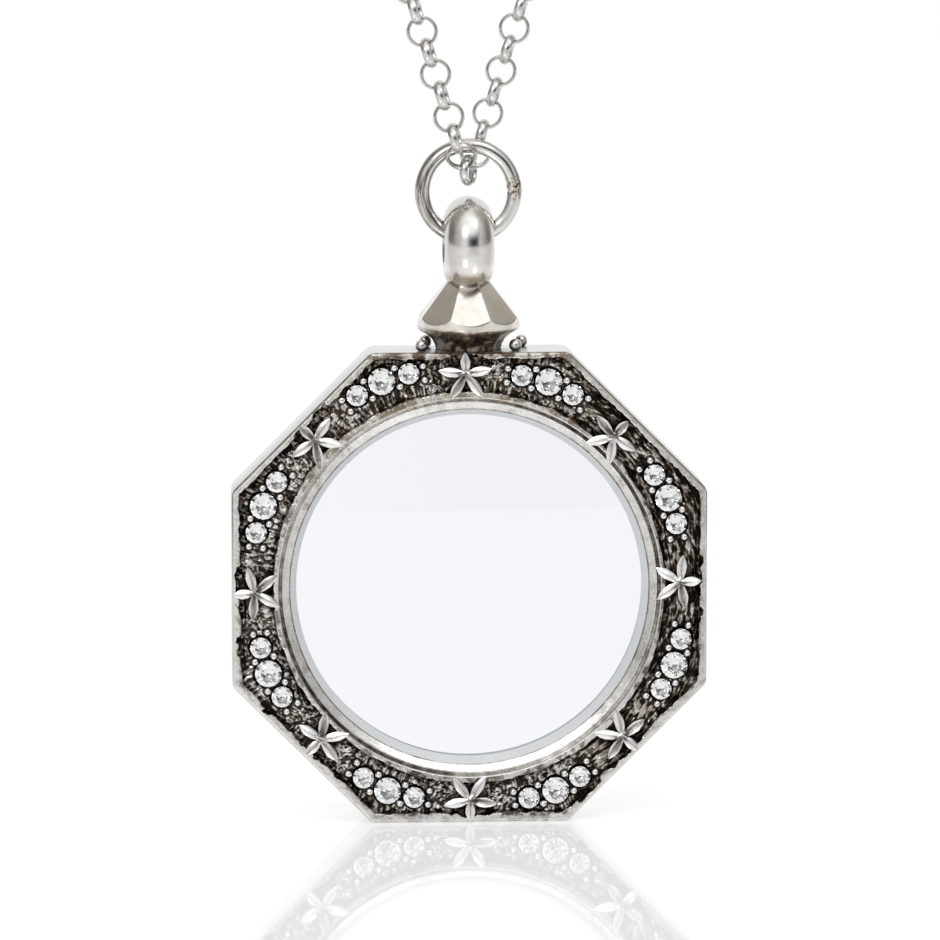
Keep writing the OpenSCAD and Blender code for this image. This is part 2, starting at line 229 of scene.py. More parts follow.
def turned_solid(profile, top, steps):
    """Turns (radius, height) points about Z and closes both ends in a point, at heights -top and top."""
    verts, faces = revolve(profile, steps, closed=False)
    low, high = len(verts), len(verts) + 1
    verts = np.vstack([verts, [(0, 0, -top), (0, 0, top)]])
    last = (len(profile) - 1) * steps
    for k in range(steps):
        n = (k + 1) % steps
        faces.append((low, n, k))
        faces.append((high, last + k, last + n))
    return verts, faces


def ball(radius, rings=12, steps=20):
    profile = []
    for i in range(1, rings):
        a = math.pi * i / rings
        profile.append((radius * math.sin(a), -radius * math.cos(a)))
    return turned_solid(profile, radius, steps)


# Smooth noise on a lattice, from a fixed integer hash
def hashed(ix, iy, seed):
    n = ix.astype(np.int64) * 374761393 + iy.astype(np.int64) * 668265263 + seed * 974634777
    n = n & 0x7FFFFFFF
    n = ((n ^ (n >> 13)) * 1274126177) & 0x7FFFFFFF
    return ((n ^ (n >> 16)) & 0xFFFF) / 65535.0


def noise(x, y, size, seed=0):
    """Value noise in 0..1 with cells of the given size."""
    u, v = x / size, y / size
    iu, iv = np.floor(u), np.floor(v)
    fu, fv = u - iu, v - iv
    fu, fv = fu * fu * (3 - 2 * fu), fv * fv * (3 - 2 * fv)
    a, b = hashed(iu, iv, seed), hashed(iu + 1, iv, seed)
    c, d = hashed(iu, iv + 1, seed), hashed(iu + 1, iv + 1, seed)
    return (a * (1 - fu) + b * fu) * (1 - fv) + (c * (1 - fu) + d * fu) * fv


def fractal(x, y, size, seed=0, octaves=3):
    total, weight = 0, 0
    for k in range(octaves):
        total = total + noise(x, y, size / 2 ** k, seed + 17 * k) * 0.5 ** k
        weight += 0.5 ** k
    return total / weight


def ramp(v, low, high):
    t = np.clip((v - low) / (high - low), 0, 1)
    return t * t * (3 - 2 * t)


# Materials
def new_material(name):
    mat = bpy.data.materials.new(name)
    mat.use_nodes = True
    tree = mat.node_tree
    shader = tree.nodes["Principled BSDF"]
    place = tree.nodes.new("ShaderNodeTexCoord")
    return mat, tree, shader, place.outputs["Object"]


def noise_node(tree, place, size_mm, detail=4.0, rough=0.55, stretch=None):
    if stretch:
        mapping = tree.nodes.new("ShaderNodeMapping")
        mapping.inputs["Scale"].default_value = stretch
        tree.links.new(place, mapping.inputs["Vector"])
        place = mapping.outputs["Vector"]
    tex = tree.nodes.new("ShaderNodeTexNoise")
    tex.inputs["Scale"].default_value = 1 / (size_mm * MM)
    tex.inputs["Detail"].default_value = detail
    tex.inputs["Roughness"].default_value = rough
    tree.links.new(place, tex.inputs["Vector"])
    return tex.outputs["Fac"]


def map_node(tree, value, low, high, out_low, out_high):
    node = tree.nodes.new("ShaderNodeMapRange")
    node.inputs["From Min"].default_value = low
    node.inputs["From Max"].default_value = high
    node.inputs["To Min"].default_value = out_low
    node.inputs["To Max"].default_value = out_high
    tree.links.new(value, node.inputs["Value"])
    return node.outputs["Result"]


def mix_colour(tree, factor, first, second):
    node = tree.nodes.new("ShaderNodeMix")
    node.data_type = "RGBA"
    tree.links.new(factor, node.inputs[0])
    for socket, value in ((node.inputs[6], first), (node.inputs[7], second)):
        if isinstance(value, tuple):
            socket.default_value = (*value, 1)
        else:
            tree.links.new(value, socket)
    return node.outputs[2]


def bump_node(tree, height, strength, distance_mm):
    node = tree.nodes.new("ShaderNodeBump")
    node.inputs["Strength"].default_value = strength
    node.inputs["Distance"].default_value = distance_mm * MM
    tree.links.new(height, node.inputs["Height"])
    return node


# Patches of tarnish: size in millimetres, the noise where they start and are full, and how strong they are
SOFT_PATCHES = (2.2, 0.52, 0.78, 0.55)
FOIL_PATCHES = (0.9, 0.45, 0.62, 0.8)


def silver(name, tone, tarnish, rough, scratch_mm, bump, patches=SOFT_PATCHES, metal=1.0):
    """Worn silver: fine scratches, uneven gloss, and warm tarnish in soft patches."""
    mat, tree, shader, place = new_material(name)
    size_mm, start, full, most = patches
    patch = map_node(tree, noise_node(tree, place, size_mm, 5, 0.6), start, full, 0.0, most)
    tree.links.new(mix_colour(tree, patch, tone, tarnish), shader.inputs["Base Color"])
    shader.inputs["Metallic"].default_value = metal
    gloss = noise_node(tree, place, 0.9, 6, 0.65)
    tree.links.new(map_node(tree, gloss, 0.3, 0.72, rough[0], rough[1]), shader.inputs["Roughness"])
    marks = noise_node(tree, place, scratch_mm, 6, 0.7, (1, 0.35, 1.6))
    node = bump_node(tree, marks, bump, 0.03)
    tree.links.new(node.outputs["Normal"], shader.inputs["Normal"])
    return mat


def ramp_node(tree, value, stops, easing="LINEAR"):
    node = tree.nodes.new("ShaderNodeValToRGB")
    node.color_ramp.interpolation = easing
    points = node.color_ramp.elements
    while len(points) < len(stops):
        points.new(0.5)
    for element, (at, colour) in zip(points, stops):
        element.position = at
        element.color = (*colour, 1)
    tree.links.new(value, node.inputs["Fac"])
    return node.outputs["Color"]


def math_node(tree, operation, first, second):
    node = tree.nodes.new("ShaderNodeMath")
    node.operation = operation
    for socket, value in zip(node.inputs, (first, second)):
        if isinstance(value, (int, float)):
            socket.default_value = value
        else:
            tree.links.new(value, socket)
    return node.outputs[0]


def split_node(tree, vector):
    node = tree.nodes.new("ShaderNodeSeparateXYZ")
    tree.links.new(vector, node.inputs["Vector"])
    return node.outputs


# Colour ramps for the darkness value, which holds oxide and painted shade alike
GREY_STOPS = [
    (0.0, (0.78, 0.77, 0.755)), (0.22, (0.60, 0.59, 0.575)), (0.42, (0.31, 0.297, 0.28)),
    (0.62, (0.105, 0.093, 0.085)), (0.85, (0.024, 0.020, 0.018)), (1.0, (0.008, 0.007, 0.006)),
]
BROWN_STOPS = [
    (0.0, (0.74, 0.70, 0.64)), (0.22, (0.60, 0.55, 0.48)), (0.42, (0.35, 0.28, 0.21)),
    (0.62, (0.15, 0.105, 0.07)), (0.85, (0.042, 0.029, 0.019)), (1.0, (0.014, 0.010, 0.007)),
]


def oxidised_and_shaded(name, oxide_and_shade_of, brown_of, rough, grain_mm, bump, specks):
    """Silver under black oxide and painted shade. Two functions give the oxide with its painted shade, and the
    brown stain, from 0 to 1.
    """
    mat, tree, shader, place = new_material(name)
    grain = noise_node(tree, place, grain_mm, 7, 0.72)
    patch = noise_node(tree, place, 1.4, 4, 0.6)
    grains = map_node(tree, grain, 0.3, 0.7, -specks, specks)
    clouds = map_node(tree, patch, 0.3, 0.7, -specks / 2, specks / 2)
    speck = math_node(tree, "ADD", grains, clouds)
    oxide_and_shade = math_node(tree, "ADD", oxide_and_shade_of(tree, place), speck)
    stain = brown_of(tree, place)
    brown = math_node(tree, "MULTIPLY", stain, map_node(tree, patch, 0.35, 0.6, 0.35, 1.0))
    grey = ramp_node(tree, oxide_and_shade, GREY_STOPS)
    warm = ramp_node(tree, oxide_and_shade, BROWN_STOPS)
    tree.links.new(mix_colour(tree, brown, grey, warm), shader.inputs["Base Color"])
    shader.inputs["Metallic"].default_value = 1
    tree.links.new(map_node(tree, oxide_and_shade, 0.1, 0.8, rough[0], rough[1]), shader.inputs["Roughness"])
    lumps = bump_node(tree, grain, bump, 0.05)
    tree.links.new(lumps.outputs["Normal"], shader.inputs["Normal"])
    return mat


def layer(key):
    def read(tree, place):
        node = tree.nodes.new("ShaderNodeAttribute")
        node.attribute_name = key
        return node.outputs["Fac"]
    return read


def above_frame(tree, z, start, stop, at_start, at_stop):
    """Fades from one value to another between two heights above the frame's top."""
    return map_node(tree, z, (FRAME_TOP_Z + start) * MM, (FRAME_TOP_Z + stop) * MM, at_start, at_stop)


def finial_oxide_and_shade(tree, place):
    """Painted shade in the hollow under the girdle, darker downwards and blotched with oxide; darker in a band
    at the seam below the bail.
    """
    z = split_node(tree, place)["Z"]
    # Painted shade under the girdle, deepening down towards the neck
    low = above_frame(tree, z, 2.4, 1.3, 0.06, 0.74)
    blots = map_node(tree, noise_node(tree, place, 1.1, 4, 0.65), 0.44, 0.6, -0.18, 0.26)
    below = above_frame(tree, z, 2.5, 1.8, 0.0, 1.0)
    low = math_node(tree, "ADD", low, math_node(tree, "MULTIPLY", blots, below))
    under = above_frame(tree, z, 6.0, 6.7, 0.0, 0.34)
    over = above_frame(tree, z, 7.0, 7.9, 1.0, 0.0)
    loop = above_frame(tree, z, 7.8, 8.6, 0.0, 0.15)
    toned = math_node(tree, "MAXIMUM", low, math_node(tree, "MULTIPLY", under, over))
    return math_node(tree, "MAXIMUM", toned, loop)


def finial_brown(tree, place):
    z = split_node(tree, place)["Z"]
    return math_node(tree, "MAXIMUM", above_frame(tree, z, 7.2, 8.2, 1.0, 0.0), 0.25)


def wire_streaks(tree, place):
    """Brushed lines that run round the jump ring."""
    offset = tree.nodes.new("ShaderNodeVectorMath")
    offset.operation = "SUBTRACT"
    tree.links.new(place, offset.inputs[0])
    offset.inputs[1].default_value = (0, 0, RING_Z * MM)
    axes = split_node(tree, offset.outputs["Vector"])
    squares = [math_node(tree, "POWER", axes[key], 2) for key in ("X", "Z")]
    square = math_node(tree, "ADD", *squares)
    lines = tree.nodes.new("ShaderNodeCombineXYZ")
    tree.links.new(math_node(tree, "SQRT", square, 0), lines.inputs["X"])
    tree.links.new(axes["Y"], lines.inputs["Y"])
    tree.links.new(math_node(tree, "MULTIPLY", axes["Z"], 0.06), lines.inputs["Z"])
    return noise_node(tree, lines.outputs["Vector"], 0.16, 5, 0.65)


def ring_spot(tree, place):
    """The patch where the ring's ends are soldered."""
    node = tree.nodes.new("ShaderNodeVectorMath")
    node.operation = "DISTANCE"
    tree.links.new(place, node.inputs[0])
    node.inputs[1].default_value = (4.3 * MM, -0.5 * MM, (RING_Z + 0.35) * MM)
    return map_node(tree, node.outputs["Value"], 0.3 * MM, 1.5 * MM, 1.0, 0.0)


def ring_oxide(tree, place):
    """Streaks, deepest on the left, and pits where the ends are soldered."""
    streaks = map_node(tree, wire_streaks(tree, place), 0.38, 0.62, 0.02, 0.44)
    depth = map_node(tree, split_node(tree, place)["X"], -4.2 * MM, 3.0 * MM, 1.4, 0.45)
    pits = map_node(tree, noise_node(tree, place, 0.32, 3, 0.6), 0.46, 0.6, 0.0, 0.62)
    stain = math_node(tree, "MULTIPLY", ring_spot(tree, place), pits)
    return math_node(tree, "ADD", math_node(tree, "MULTIPLY", streaks, depth), stain)


def ring_brown(tree, place):
    return map_node(tree, ring_spot(tree, place), 0.0, 1.0, 0.1, 0.8)


def clear(name, tint, ior, mirrored=False):
    """Clear glass or crystal that lets lamp light through, and where asked, mirrored light too."""
    mat, tree, shader, place = new_material(name)
    shader.inputs["Base Color"].default_value = (*tint, 1)
    shader.inputs["Transmission Weight"].default_value = 1
    shader.inputs["IOR"].default_value = ior
    dust = noise_node(tree, place, 3.0, 5, 0.6)
    tree.links.new(map_node(tree, dust, 0.4, 0.8, 0.0, 0.02), shader.inputs["Roughness"])
    through = tree.nodes.new("ShaderNodeBsdfTransparent")
    through.inputs["Color"].default_value = (*tint, 1)
    path = tree.nodes.new("ShaderNodeLightPath")
    mix = tree.nodes.new("ShaderNodeMixShader")
    passed = path.outputs["Is Shadow Ray"]
    if mirrored:
        passed = math_node(tree, "MAXIMUM", passed, path.outputs["Is Glossy Ray"])
        passed = math_node(tree, "MAXIMUM", passed, path.outputs["Is Diffuse Ray"])
    tree.links.new(passed, mix.inputs[0])
    tree.links.new(shader.outputs["BSDF"], mix.inputs[1])
    tree.links.new(through.outputs["BSDF"], mix.inputs[2])
    tree.links.new(mix.outputs["Shader"], tree.nodes["Material Output"].inputs["Surface"])
    return mat


# The layer these read holds the oxide and, round stones and beads and along the bevel, painted shade too
ANTIQUE = oxidised_and_shaded("antique_silver", layer("oxide_and_shade"), layer("brown"), (0.22, 0.4), 0.15, 0.4, 0.2)
PETALS = oxidised_and_shaded("petal_silver", layer("oxide_and_shade"), layer("brown"), (0.2, 0.36), 0.22, 0.16, 0.12)
FINIAL = oxidised_and_shaded("finial_silver", finial_oxide_and_shade, finial_brown, (0.16, 0.42), 0.5, 0.05, 0.06)
RING = oxidised_and_shaded("ring_silver", ring_oxide, ring_brown, (0.16, 0.34), 0.3, 0.1, 0.06)
BEADS_METAL = oxidised_and_shaded("bead_silver", layer("oxide_and_shade"), layer("brown"), (0.14, 0.3), 0.3, 0.05, 0.05)
WALLS = silver("wall_silver", (0.70, 0.70, 0.705), (0.58, 0.57, 0.55), (0.24, 0.36), 0.3, 0.06)
THROAT = silver(
    "throat_silver", (0.695, 0.706, 0.712), (0.6, 0.61, 0.615), (0.4, 0.55), 0.5, 0.05, metal=0.2)
CHAIN = silver("chain_silver", (0.62, 0.61, 0.595), (0.34, 0.315, 0.285), (0.14, 0.3), 0.2, 0.1)
LENS = clear("lens_glass", (0.908, 0.922, 0.945), 1.5, mirrored=True)
CRYSTAL = clear("crystal", (0.97, 0.972, 0.975), 1.66)
FOIL = silver("stone_foil", (0.64, 0.64, 0.64), (0.1, 0.1, 0.098), (0.03, 0.08), 0.3, 0.05, FOIL_PATCHES)


# Where the stones, beads and stars lie on the face
def corner_angle(corner):
    return PATTERN_TURN - 22.5 - corner * 45 - GROUPS[corner][1]


def stone_places():
    for corner in range(8):
        for place in (-1, 0, 1):
            r, d = (LARGE_R, LARGE_D) if place == 0 else (SMALL_R, SMALL_D)
            yield r + GROUPS[corner][0], corner_angle(corner) - place * STONE_STEP, d


def bead_places():
    for corner in range(8):
        for inset, angle in BEADS:
            for side in (-1, 1):
                yield polar(APOTHEM - inset + GROUPS[corner][0], corner_angle(corner) + side * angle)


def star_places():
    """Each star's centre on the face, its direction from the middle and its own turn."""
    for i, (outward, clockwise, own) in enumerate(STARS):
        deg = PATTERN_TURN - i * 45 - clockwise
        yield polar(STAR_R + outward, deg), deg, own


def outline_r(deg, inset):
    """Radius of the octagon's blunted outline, moved in by the inset, at an angle from the top."""
    off = (deg + 22.5) % 45 - 22.5
    return min((APOTHEM - inset) / math.cos(off * RAD), CORNER_R - inset)


# Sizes of the face's relief
GRIT_H = 0.42
STEP_W = 1.25
STEP_H = 0.16
SHELF_R = 19.1
SHELF_H = 0.14
EDGE_SOFT = 0.09
BITE = 0.42
WORN_H = 0.06
CONE_H = 1.15
LIP_DROP = 0.8
SHOULDER_R = RIDGE_IN_R + 0.22
# Radius and height of the lip, the groove and the ridge's inner edge, from the rim's top
LIP_PROFILE = [
    [OPENING_R, -LIP_DROP], [LIP_R - 0.12, -0.32], [LIP_R, -0.47],
    [RIDGE_IN_R, -0.47], [RIDGE_IN_R + 0.1, -0.08], [SHOULDER_R, 0],
]
# How much wider the ridge is worn, every 45 degrees clockwise from the top
RIDGE_SPREAD = [0.3, 0.02, 0.0, 0.3, 0.26, 0.1, 0.15, 0.35, 0.3]
# Widths of two bands of mesh rows: round ones next to the lens, and ones along the octagon's edge
ROUND_BAND = 1.7
EDGE_BAND = 0.98


# The front of the frame: one relief, from the opening's edge out to the bevel
class Face:
    """Points on the face: where each lies, and the noise that its wear is made from."""

    def __init__(self, x, y):
        self.x, self.y = x, y
        self.r = np.hypot(x, y)
        across = [x * math.sin(k * 45 * RAD) + y * math.cos(k * 45 * RAD) for k in range(8)]
        self.inset = APOTHEM - np.max(across, axis=0)
        self.turn = np.arctan2(x, y)
        self.upward = np.cos(self.turn)
        self.rightward = np.sin(self.turn)
        self.sway = 0.6 * (fractal(x, y, 0.4, 5) - 0.5)
        self.drift = 0.6 * (fractal(x, y, 0.4, 7) - 0.5)
        self.coarse = fractal(x, y, 1.3, 3)
        self.medium = fractal(x, y, 0.6, 11)
        self.patchy = fractal(x + self.sway, y + self.drift, 0.6, 11)
        self.lengthwise = 0.85 * ramp(self.rightward, 0.3, 0.65)

    def away_from(self, centre):
        return np.hypot(self.x - centre[0], self.y - centre[1])


def field_relief(face):
    """The sunk field, gritty from the mould, with file marks across parts of it and along its right side."""
    fine = fractal(face.x, face.y, 0.3, 29)
    grit = fractal(face.x, face.y, 0.17, 53, 2)
    hatch = fractal(face.r * 0.5, face.turn * 70, 0.42, 41, 2)
    hatched = ramp(noise(face.x, face.y, 2.3, 71), 0.46, 0.62)
    streaks = fractal(face.r, face.turn * 5.5, 0.17, 61, 2)
    grain = hatch * hatched + grit * (1 - hatched)
    grain = grain + (streaks - grain) * face.lengthwise
    fine = fine + (streaks - fine) * 0.5 * face.lengthwise
    rough = 0.34 * fine + 0.14 * face.medium + 0.52 * grain
    height = FIELD_Z + GRIT_H * (rough - 0.5) + 0.06 * (face.coarse - 0.5)
    # A low step in the field along the rim, and another round the ridge
    step = STEP_H * ramp(STEP_W + 0.5 * (face.coarse - 0.5) - face.inset, -0.06, 0.06)
    shelf = SHELF_H * ramp(SHELF_R + 0.7 * (face.coarse - 0.5) - face.r, -0.06, 0.06)
    height = height + np.maximum(step, shelf) * ramp(face.medium, 0.4, 0.5)
    hollow = np.clip(ramp(1.35 - face.inset, 0.0, 0.4) + ramp(19.3 - face.r, 0.0, 0.6), 0, 1)
    oxide_and_shade = 0.9 - 0.7 * ramp(rough, 0.4, 0.62) + 0.26 * hollow + 0.18 * (0.5 - face.coarse)
    return height, oxide_and_shade + 0.11 * face.lengthwise


def rim_share(face):
    """1 on the rim, whose inner edge oxide has eaten into, most of all where a star crosses it."""
    bites = ramp(fractal(face.x + face.sway, face.y + face.drift, 2.4, 67), 0.6, 0.72)
    for centre, _, _ in star_places():
        crossing = 1 - ramp(face.away_from(centre), 1.9, 2.7)
        bites = np.maximum(bites, 1.2 * crossing * ramp(0.6 * face.coarse + 0.4 * face.patchy, 0.4, 0.6))
    ragged = 0.34 * (face.patchy - 0.5) + 0.4 * (face.coarse - 0.5) - 0.12 * face.upward - BITE * bites
    return ramp(RIM_W + ragged - face.inset, -EDGE_SOFT, EDGE_SOFT)


def ridge_edge_r(face):
    """Outer radius of the ridge round the lip, worn the same way as the rim."""
    spread = np.interp(face.turn / RAD % 360, np.arange(0, 361, 45), RIDGE_SPREAD)
    return RIDGE_OUT_R + spread + 0.3 * (face.patchy - 0.5) + 0.3 * (face.coarse - 0.5)


def with_lip(face, height, oxide_and_shade, brown):
    """Adds the lip round the lens, the groove and the ridge's inner edge."""
    radii, rises = zip(*LIP_PROFILE)
    lip = np.interp(face.r, radii, [HALF_DEPTH + rise for rise in rises])
    inner = face.r < SHOULDER_R
    in_groove = ramp(face.r, LIP_R - 0.12, LIP_R) * (1 - ramp(face.r, RIDGE_IN_R, RIDGE_IN_R + 0.1))
    at_edge = 1 - ramp(face.r, OPENING_R + 0.04, OPENING_R + 0.16)
    tone = 0.07 + 0.12 * np.abs(face.rightward) + 0.14 * ramp(face.coarse, 0.6, 0.8) + 0.4 * at_edge
    filled = 0.5 + 0.5 * np.cos(2 * (face.turn - 45 * RAD))
    tone = tone + (0.05 + 0.46 * filled) * (0.4 + 1.2 * face.medium) * in_groove
    brown = np.where(face.r < RIDGE_IN_R, 0.1, brown)
    return np.where(inner, lip, height), np.where(inner, tone, oxide_and_shade), brown


def with_settings(face, on_rim, raised, height, oxide_and_shade, brown):
    """Adds a cone under each stone; painted shade in the crevice round each stone and bead, over the oxide
    there; and the oxide and brown stain held round the stars.
    """
    for sr, deg, d in stone_places():
        gap = face.away_from(polar(sr, deg)) - d / 2
        cone = FIELD_Z - CONE_H * np.clip(-gap / (d / 2), 0, 1) - 0.05
        near = 1 - ramp(gap, 0.08, 0.3)
        height = height - 0.16 * near * (1 - raised)
        height = np.where(gap < 0.02, np.minimum(cone, height), height)
        # Painted shade in the crevice round the stone
        oxide_and_shade = np.maximum(oxide_and_shade, 0.98 * near * (1 - on_rim))
    for centre in bead_places():
        near = 1 - ramp(face.away_from(centre) - BEAD_D / 2, 0.04, 0.22)
        # Painted shade in the crevice round the bead
        oxide_and_shade = np.maximum(oxide_and_shade, 0.95 * near * (1 - on_rim))
    for centre, _, _ in star_places():
        near = 1 - ramp(face.away_from(centre), 1.2, 2.6)
        oxide_and_shade = np.maximum(oxide_and_shade, 0.8 * near * (1 - raised))
        brown = np.maximum(brown, 0.9 * near)
    return height, oxide_and_shade, brown


def relief(x, y):
    """Height of the face at each point, how much black oxide and painted shade lies there, and how much brown
    stain.
    """
    face = Face(x, y)
    field, oxide_and_shade = field_relief(face)
    on_rim = rim_share(face)
    within_ridge = ridge_edge_r(face) - face.r
    on_ridge = ramp(within_ridge, -EDGE_SOFT, EDGE_SOFT)
    raised = np.maximum(on_rim, on_ridge)
    height = field * (1 - raised) + (HALF_DEPTH - WORN_H * (1 - face.medium)) * raised
    # Oxide left on the rim and the ridge: at the top, the foot and the right, and along frayed edges
    top = ramp(face.upward, 0.84, 0.98)
    foot = ramp(-face.upward, 0.86, 0.98)
    right = ramp(face.rightward, 0.7, 0.95)
    blots = ramp(fractal(x + 1.4 * face.sway, y + face.drift, 0.8, 91), 0.38, 0.64)
    frayed = np.maximum(ramp(face.inset, RIM_W - 0.4, RIM_W), ramp(within_ridge, 0.24, 0) * on_ridge)
    darkness = 0.07 + 0.13 * right + (0.58 * top * on_rim + 0.22 * foot) * blots
    darkness = darkness + 0.4 * frayed * ramp(face.patchy, 0.4, 0.68)
    # Painted shade: a dark line along the outer bevel, on the upper sides
    bevel_shade = (1 - ramp(face.inset, 0.06, 0.26)) * ramp(face.upward, -0.1, 0.4)
    darkness = np.maximum(darkness, 0.46 * bevel_shade)
    oxide_and_shade = oxide_and_shade * (1 - raised) + darkness * raised
    # Brown stain: clouds at the top, and the field's right side
    clouds = 0.75 * ramp(face.coarse, 0.5, 0.68) * ramp(face.upward, 0.55, 0.95)
    brown = 0.25 + clouds + 0.35 * (face.medium - 0.5)
    brown = np.maximum(brown, 0.8 * top * on_rim)
    brown = np.maximum(brown, 0.6 * face.lengthwise * (1 - raised))
    # Warm stain on the ridge, from the top round to the upper left
    toned = on_ridge * ramp(np.cos(face.turn + 22 * RAD), 0.55, 0.9)
    brown = np.maximum(brown, 0.9 * toned)
    oxide_and_shade = np.maximum(oxide_and_shade, 0.12 * toned * (0.5 + face.medium))
    height, oxide_and_shade, brown = with_lip(face, height, oxide_and_shade, brown)
    height = np.minimum(height, HALF_DEPTH - EDGE_BEVEL + face.inset)
    height, oxide_and_shade, brown = with_settings(face, on_rim, raised, height, oxide_and_shade, brown)
    return height, oxide_and_shade, np.clip(brown, 0, 1)


def front_rows():
    """Rows of the relief's mesh: round ones over the lip, blended ones, then ones that follow the octagon."""
    rows = [("round", OPENING_R + ROUND_BAND * t) for t in np.linspace(0, 1, 29)]
    rows += [("blend", t) for t in np.linspace(0, 1, 52)[1:-1]]
    rows += [("edge", e) for e in np.linspace(EDGE_BAND, 0, 25)]
    return rows


def front_radius(kind, value, deg):
    if kind == "round":
        return value
    if kind == "edge":
        return outline_r(deg, value)
    inner_r = OPENING_R + ROUND_BAND
    return inner_r + value * (outline_r(deg, EDGE_BAND) - inner_r)


def front_piece(name, start, stop, cols):
    rows = front_rows()
    xs, ys = [], []
    for kind, value in rows:
        for deg in np.linspace(start, stop, cols + 1):
            r = front_radius(kind, value, deg)
            xs.append(r * math.sin(deg * RAD))
            ys.append(r * math.cos(deg * RAD))
    x, y = np.array(xs), np.array(ys)
    height, oxide_and_shade, brown = relief(x, y)
    verts = to_front(np.stack([x, y, height], 1))
    faces = [(a, d, c, b) for a, b, c, d in grid_faces(len(rows), cols + 1)]
    return make_mesh(name, verts, faces, ANTIQUE, 50, {"oxide_and_shade": oxide_and_shade, "brown": brown})


pieces = []
for name, start in (("frame_front_right", 0), ("frame_front_left", 180)):
    pieces.append(front_piece(name, start, start + 180, 720))


# The frame's walls and back, swept round the outline
def frame_walls():
    steps = 720
    angles = [k * 360 / steps for k in range(steps)]
    outer = [
        (0.0, HALF_DEPTH - EDGE_BEVEL), (0.0, 2.36), (0.1, 2.26), (0.1, 2.14), (0.0, 2.04),
        (0.0, 0.62), (0.08, 0.54), (0.08, 0.46), (0.0, 0.38),
        (0.0, EDGE_BEVEL - HALF_DEPTH), (EDGE_BEVEL, -HALF_DEPTH), (1.6, -HALF_DEPTH),
    ]
    inner = [
        (LIP_R + 0.5, -HALF_DEPTH), (LIP_R, -HALF_DEPTH), (LIP_R - 0.05, -HALF_DEPTH + 0.05),
        (OPENING_R, -HALF_DEPTH + 0.5), (THROAT_R, -THROAT_Z), (LENS_R + LENS_GAP, -SEAT_Z),
        (LENS_R + LENS_GAP, SEAT_Z), (THROAT_R, THROAT_Z), (OPENING_R, HALF_DEPTH - LIP_DROP),
    ]
    back_lip = len(outer) + 3
    verts = []
    for e, z in outer:
        for deg in angles:
            r = outline_r(deg, e)
            verts.append((r * math.sin(deg * RAD), r * math.cos(deg * RAD), z))
    for r, z in inner:
        for deg in angles:
            verts.append((r * math.sin(deg * RAD), r * math.cos(deg * RAD), z))
    faces = grid_faces(len(outer) + len(inner), steps, close_cols=True)
    obj = make_mesh("frame_walls", to_front(verts), faces, WALLS, 30)
    obj.data.materials.append(THROAT)
    for face in obj.data.polygons[back_lip * steps:]:
        face.material_index = 1
    return obj


walls = frame_walls()


# Stars: each petal is a small leaf with a crease, standing on the field
def star_mesh(parts, centre, base_deg, turn, hollow_petals):
    steps, across = 14, 4
    along = [0.0, 0.15, 0.36, 0.6, 0.82, 1.0]
    widths = [0.3, 0.56, 0.88, 1.0, 0.64, 0.03]
    rises = [1.0, 1.0, 0.95, 0.8, 0.5, 0.06]
    for k, (angle, share) in enumerate(zip(PETAL_ANGLES, PETAL_SHARES)):
        hollow = k in hollow_petals
        deg = base_deg + 90 + turn + angle
        ux, uy = math.cos(deg * RAD), math.sin(deg * RAD)
        verts, darkness = [], []
        for i in range(steps + 1):
            t = i / steps
            d = t * PETAL_LEN * share
            half = np.interp(t, along, widths) * PETAL_W / 2
            rise = np.interp(t, along, rises) * PETAL_RISE
            section = [(-1.0, FIELD_Z - 0.15), (-1.0, HALF_DEPTH - 0.06)]
            for j in range(-across, across + 1):
                v = j / across
                if hollow:
                    dip = 0.55 - 1.1 * (1 - abs(v)) * min(1, 4 * (1 - abs(v)))
                else:
                    dip = 1 - abs(v) - 0.12 * math.sin(math.pi * abs(v))
                section.append((v * 0.96, HALF_DEPTH + 0.02 + rise * dip))
            section += [(1.0, HALF_DEPTH - 0.06), (1.0, FIELD_Z - 0.15)]
            for v, z in section:
                w = v * half
                verts.append((centre[0] + d * ux - w * uy, centre[1] + d * uy + w * ux, z))
                groove = 0.34 if hollow and abs(v) < 0.6 else 0.3 * (abs(v) < 0.1)
                tone = 0.06 + 0.3 * max(0, 0.25 - t) + 0.36 * (abs(v) > 0.98) + groove
                darkness.append(0.95 if z < HALF_DEPTH - 0.3 else tone)
        cols = 2 * across + 5
        faces = grid_faces(steps + 1, cols)
        faces.append(list(range(steps * cols, (steps + 1) * cols)))
        faces.append(list(range(cols))[::-1])
        parts.add(to_front(verts), faces, darkness)


# The hollow petals of each star, by their places in PETAL_ANGLES
HOLLOW = [(2,), (0, 1), (4,), (1, 4), (1,), (3,), (1, 3), (0, 2)]
stars = Parts()
for (centre, deg, turn), hollow in zip(star_places(), HOLLOW):
    star_mesh(stars, centre, deg, turn, hollow)
star_piece = stars.build("stars", PETALS, 24, "oxide_and_shade")

# Bead prongs and the granules beside the cap
beads = Parts()
bead_verts, bead_faces = ball(BEAD_D / 2)
# Painted shade: each bead darker on its back, where it sits on the field, over a little oxide
bead_base_shade = 0.1 + 0.85 * ramp(-bead_verts[:, 2], -0.1, 0.12)
for bx, by in bead_places():
    beads.add(to_front(bead_verts + np.array([bx, by, BEAD_Z])), bead_faces, bead_base_shade)
granule_verts, granule_faces = ball(GRANULE_R, 16, 28)
# Painted shade: each granule darker on its underside, over a little oxide
granule_under_shade = 0.2 + 0.6 * ramp(-granule_verts[:, 2], -0.1, 0.45)
for gx, gy in GRANULES:
    at = np.array([gx, gy, FRAME_TOP_Z + GRANULE_R - GRANULE_SINK])
    beads.add(granule_verts + at, granule_faces, granule_under_shade)
bead_piece = beads.build("beads", BEADS_METAL, 60, "oxide_and_shade")


